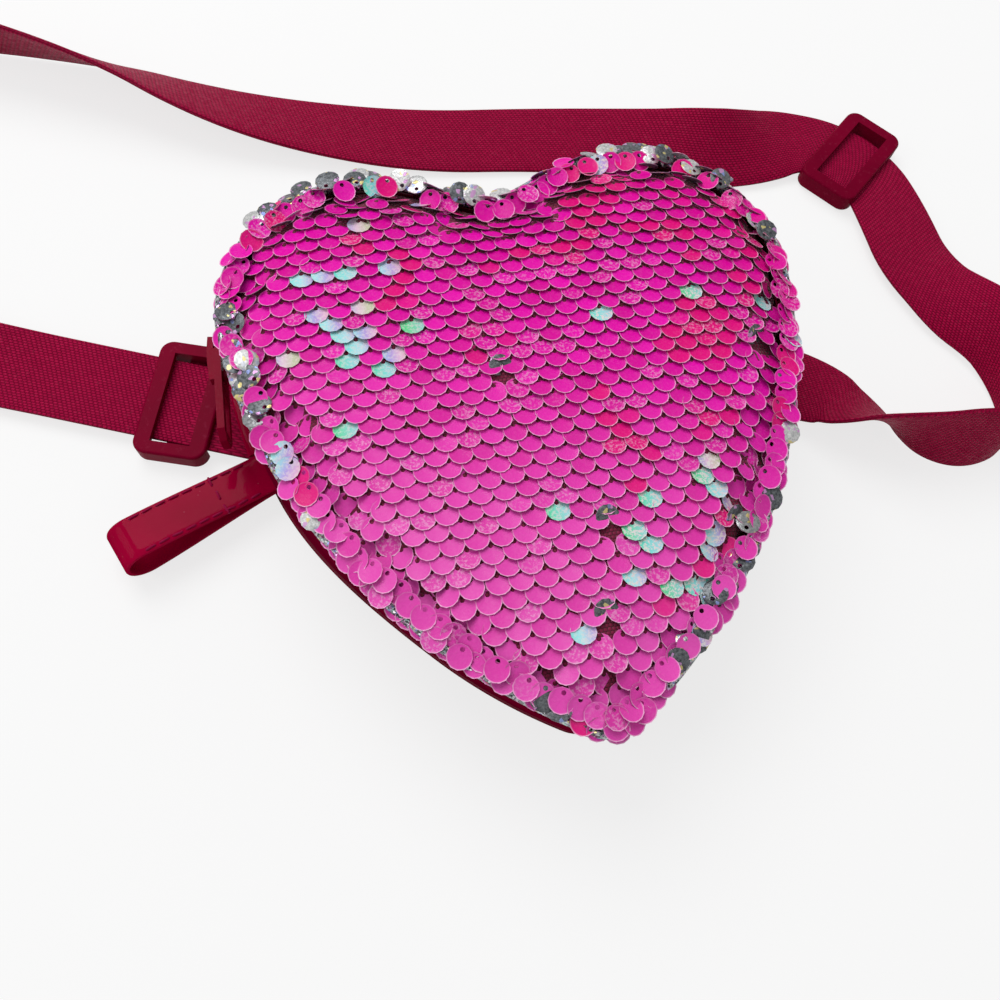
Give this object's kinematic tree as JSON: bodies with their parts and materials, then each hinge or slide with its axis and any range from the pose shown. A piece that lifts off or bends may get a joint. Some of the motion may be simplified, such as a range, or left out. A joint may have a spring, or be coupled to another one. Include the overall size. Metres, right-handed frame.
{
  "type": "heart shaped purse",
  "caption": "Small heart shaped purse lying on its back: domed flip-sequin front, glossy vinyl sides with a zip, glitter piping, side loop and webbing shoulder strap.",
  "frame": {"origin": "on the back panel's outer face, under the middle of the heart", "axes": "+Z out of the sequinned front, -Y towards the heart's tip, +X across to the lobe with no zip"},
  "size_m": [0.4222, 0.2171, 0.0364],
  "materials": {
    "patent_vinyl": "glossy patent",
    "sequin": "mirror-like with iridescent tints",
    "mesh_cloth": "matt mesh",
    "foam": "matt",
    "lining_cloth": "matt woven",
    "glitter_cord": "silver glitter",
    "webbing": "ribbed weave",
    "zip_tape": "woven",
    "zip_teeth": "satin",
    "moulded": "satin moulded",
    "enamel_metal": "glossy enamel"
  },
  "bodies": {
    "bag": {"back_panel": "patent_vinyl", "back_pad": "foam", "back_lining": "lining_cloth", "back_piping": "patent_vinyl", "bottom_gusset": "patent_vinyl", "gusset_lining": "lining_cloth", "zip_strip_front": "patent_vinyl", "zip_strip_back": "patent_vinyl", "zip_tape_front": "zip_tape", "zip_tape_back": "zip_tape", "zip_teeth_front": "zip_teeth", "zip_teeth_back": "zip_teeth", "zip_top_stop_front": "enamel_metal", "zip_top_stop_back": "enamel_metal", "zip_bottom_stop": "enamel_metal", "front_piping": "glitter_cord", "front_lining": "lining_cloth", "front_pad": "foam", "front_panel": "mesh_cloth", "sequin_layer": "sequin", "left_anchor_tab": "patent_vinyl", "right_anchor_tab": "patent_vinyl", "grab_loop": "patent_vinyl", "shoulder_strap": "webbing"},
    "zip_slider": {"zip_slider": "enamel_metal"},
    "zip_pull": {"zip_pull": "enamel_metal"},
    "left_glide": {"left_glide": "moulded"},
    "right_glide": {"right_glide": "moulded"}
  },
  "joints": [
    {"name": "zip_travel", "type": "hinge", "parent": "bag", "child": "zip_slider", "pos_m": [-0.028, 0.03, 0.0162], "axis": [0, 0, -1], "range_deg": [0, 95], "deforming": ["zip_teeth_front", "zip_teeth_back"]},
    {"name": "zip_pull_flip", "type": "hinge", "parent": "zip_slider", "child": "zip_pull", "pos_m": [-0.06173, 0.03109, 0.0162], "axis": [0, 0, -1], "range_deg": [0, 170]},
    {"name": "left_glide_slide", "type": "slide", "parent": "bag", "child": "left_glide", "axis": [-0.9262, 0.377, 0], "range_m": [0, 0.01]},
    {"name": "right_glide_slide", "type": "hinge", "parent": "bag", "child": "right_glide", "pos_m": [0.08662, 0.0606, 0.00265], "axis": [0, 0, 1], "range_deg": [-14, 14]}
  ]
}
